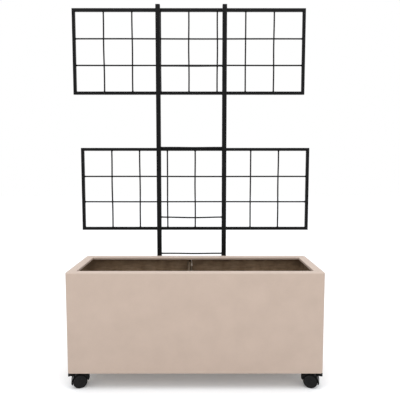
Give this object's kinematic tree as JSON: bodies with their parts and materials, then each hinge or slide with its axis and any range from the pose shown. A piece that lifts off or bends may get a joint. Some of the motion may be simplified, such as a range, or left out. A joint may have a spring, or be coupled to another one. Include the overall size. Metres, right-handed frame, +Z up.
{
  "type": "planter with trellis",
  "caption": "Long rectangular trough planter on braked twin-wheel swivel casters, with a tall black steel trellis of two staggered wire panels on posts behind it.",
  "frame": {"origin": "on the floor, at the middle of the whole object's footprint box (trough, panels and pedals)", "axes": "+Z up; +X along the trough's length, to the right seen from the front; the front of the trough faces -Y and the trellis stands at +Y"},
  "size_m": [0.965, 0.31, 1.43],
  "materials": {
    "painted_stone": "matte taupe paint over moulded stone-and-fibre composite, faintly mottled",
    "raw_composite": "rough unpainted brown-grey composite",
    "black_steel": "satin black powder coat",
    "black_plastic": "satin moulded black plastic",
    "wheel_plastic": "satin black plastic wheel",
    "rubber": "matte black rubber",
    "zinc_steel": "bright zinc plate"
  },
  "bodies": {
    "planter": {"planter_shell": "painted_stone", "centre_brace": "raw_composite", "drain_plug_left": "rubber", "drain_plug_right": "rubber", "trellis_post_left": "black_steel", "post_cap_left": "black_plastic", "post_foot_left": "black_plastic", "trellis_post_right": "black_steel", "post_cap_right": "black_plastic", "post_foot_right": "black_plastic", "trellis_rung_1": "black_steel", "trellis_rung_2": "black_steel", "trellis_rung_3": "black_steel", "trellis_rung_4": "black_steel", "upper_panel_stile_left": "black_steel", "upper_panel_stile_right": "black_steel", "upper_panel_rail_top": "black_steel", "upper_panel_rail_bottom": "black_steel", "upper_panel_lattice": "black_steel", "lower_panel_stile_left": "black_steel", "lower_panel_stile_right": "black_steel", "lower_panel_rail_top": "black_steel", "lower_panel_rail_bottom": "black_steel", "lower_panel_lattice": "black_steel", "wall_bolt_lower_left": "zinc_steel", "wall_nut_lower_left": "zinc_steel", "wall_bolt_lower_right": "zinc_steel", "wall_nut_lower_right": "zinc_steel", "wall_bolt_upper_left": "zinc_steel", "wall_nut_upper_left": "zinc_steel", "wall_bolt_upper_right": "zinc_steel", "wall_nut_upper_right": "zinc_steel", "caster_front_left_stem": "zinc_steel", "caster_front_left_nut": "zinc_steel", "caster_front_right_stem": "zinc_steel", "caster_front_right_nut": "zinc_steel", "caster_rear_left_stem": "zinc_steel", "caster_rear_left_nut": "zinc_steel", "caster_rear_right_stem": "zinc_steel", "caster_rear_right_nut": "zinc_steel"},
    "caster_front_left": {"caster_front_left_hood": "black_plastic", "caster_front_left_axle": "zinc_steel"},
    "caster_front_left_brake": {"caster_front_left_brake_lever": "black_plastic"},
    "caster_front_left_wheel_front": {"caster_front_left_wheel_front": "wheel_plastic"},
    "caster_front_left_wheel_rear": {"caster_front_left_wheel_rear": "wheel_plastic"},
    "caster_front_right": {"caster_front_right_hood": "black_plastic", "caster_front_right_axle": "zinc_steel"},
    "caster_front_right_brake": {"caster_front_right_brake_lever": "black_plastic"},
    "caster_front_right_wheel_front": {"caster_front_right_wheel_front": "wheel_plastic"},
    "caster_front_right_wheel_rear": {"caster_front_right_wheel_rear": "wheel_plastic"},
    "caster_rear_left": {"caster_rear_left_hood": "black_plastic", "caster_rear_left_axle": "zinc_steel"},
    "caster_rear_left_brake": {"caster_rear_left_brake_lever": "black_plastic"},
    "caster_rear_left_wheel_front": {"caster_rear_left_wheel_front": "wheel_plastic"},
    "caster_rear_left_wheel_rear": {"caster_rear_left_wheel_rear": "wheel_plastic"},
    "caster_rear_right": {"caster_rear_right_hood": "black_plastic", "caster_rear_right_axle": "zinc_steel"},
    "caster_rear_right_brake": {"caster_rear_right_brake_lever": "black_plastic"},
    "caster_rear_right_wheel_front": {"caster_rear_right_wheel_front": "wheel_plastic"},
    "caster_rear_right_wheel_rear": {"caster_rear_right_wheel_rear": "wheel_plastic"}
  },
  "joints": [
    {"name": "caster_front_left_swivel", "type": "hinge", "parent": "planter", "child": "caster_front_left", "pos_m": [-0.3845, -0.118, 0.05], "axis": [0, 0, 1], "continuous": true},
    {"name": "caster_front_left_wheel_front_spin", "type": "hinge", "parent": "caster_front_left", "child": "caster_front_left_wheel_front", "pos_m": [-0.39888, -0.12226, 0.025], "axis": [0.284, -0.9588, 0], "continuous": true},
    {"name": "caster_front_left_wheel_rear_spin", "type": "hinge", "parent": "caster_front_left", "child": "caster_front_left_wheel_rear", "pos_m": [-0.39888, -0.12226, 0.025], "axis": [0.284, -0.9588, 0], "continuous": true},
    {"name": "caster_front_left_brake_press", "type": "hinge", "parent": "caster_front_left", "child": "caster_front_left_brake", "pos_m": [-0.41129, -0.12594, 0.03406], "axis": [0.284, -0.9588, 0], "range_deg": [0, 17]},
    {"name": "caster_front_right_swivel", "type": "hinge", "parent": "planter", "child": "caster_front_right", "pos_m": [0.4155, -0.118, 0.05], "axis": [0, 0, 1], "continuous": true},
    {"name": "caster_front_right_wheel_front_spin", "type": "hinge", "parent": "caster_front_right", "child": "caster_front_right_wheel_front", "pos_m": [0.42988, -0.12226, 0.025], "axis": [0.284, 0.9588, 0], "continuous": true},
    {"name": "caster_front_right_wheel_rear_spin", "type": "hinge", "parent": "caster_front_right", "child": "caster_front_right_wheel_rear", "pos_m": [0.42988, -0.12226, 0.025], "axis": [0.284, 0.9588, 0], "continuous": true},
    {"name": "caster_front_right_brake_press", "type": "hinge", "parent": "caster_front_right", "child": "caster_front_right_brake", "pos_m": [0.44229, -0.12594, 0.03406], "axis": [0.284, 0.9588, 0], "range_deg": [0, 17]},
    {"name": "caster_rear_left_swivel", "type": "hinge", "parent": "planter", "child": "caster_rear_left", "pos_m": [-0.3845, 0.088, 0.05], "axis": [0, 0, 1], "continuous": true},
    {"name": "caster_rear_left_wheel_front_spin", "type": "hinge", "parent": "caster_rear_left", "child": "caster_rear_left_wheel_front", "pos_m": [-0.39888, 0.09226, 0.025], "axis": [-0.284, -0.9588, 0], "continuous": true},
    {"name": "caster_rear_left_wheel_rear_spin", "type": "hinge", "parent": "caster_rear_left", "child": "caster_rear_left_wheel_rear", "pos_m": [-0.39888, 0.09226, 0.025], "axis": [-0.284, -0.9588, 0], "continuous": true},
    {"name": "caster_rear_left_brake_press", "type": "hinge", "parent": "caster_rear_left", "child": "caster_rear_left_brake", "pos_m": [-0.41129, 0.09594, 0.03406], "axis": [-0.284, -0.9588, 0], "range_deg": [0, 17]},
    {"name": "caster_rear_right_swivel", "type": "hinge", "parent": "planter", "child": "caster_rear_right", "pos_m": [0.4155, 0.088, 0.05], "axis": [0, 0, 1], "continuous": true},
    {"name": "caster_rear_right_wheel_front_spin", "type": "hinge", "parent": "caster_rear_right", "child": "caster_rear_right_wheel_front", "pos_m": [0.42988, 0.09226, 0.025], "axis": [-0.284, 0.9588, 0], "continuous": true},
    {"name": "caster_rear_right_wheel_rear_spin", "type": "hinge", "parent": "caster_rear_right", "child": "caster_rear_right_wheel_rear", "pos_m": [0.42988, 0.09226, 0.025], "axis": [-0.284, 0.9588, 0], "continuous": true},
    {"name": "caster_rear_right_brake_press", "type": "hinge", "parent": "caster_rear_right", "child": "caster_rear_right_brake", "pos_m": [0.44229, 0.09594, 0.03406], "axis": [-0.284, 0.9588, 0], "range_deg": [0, 17]}
  ]
}
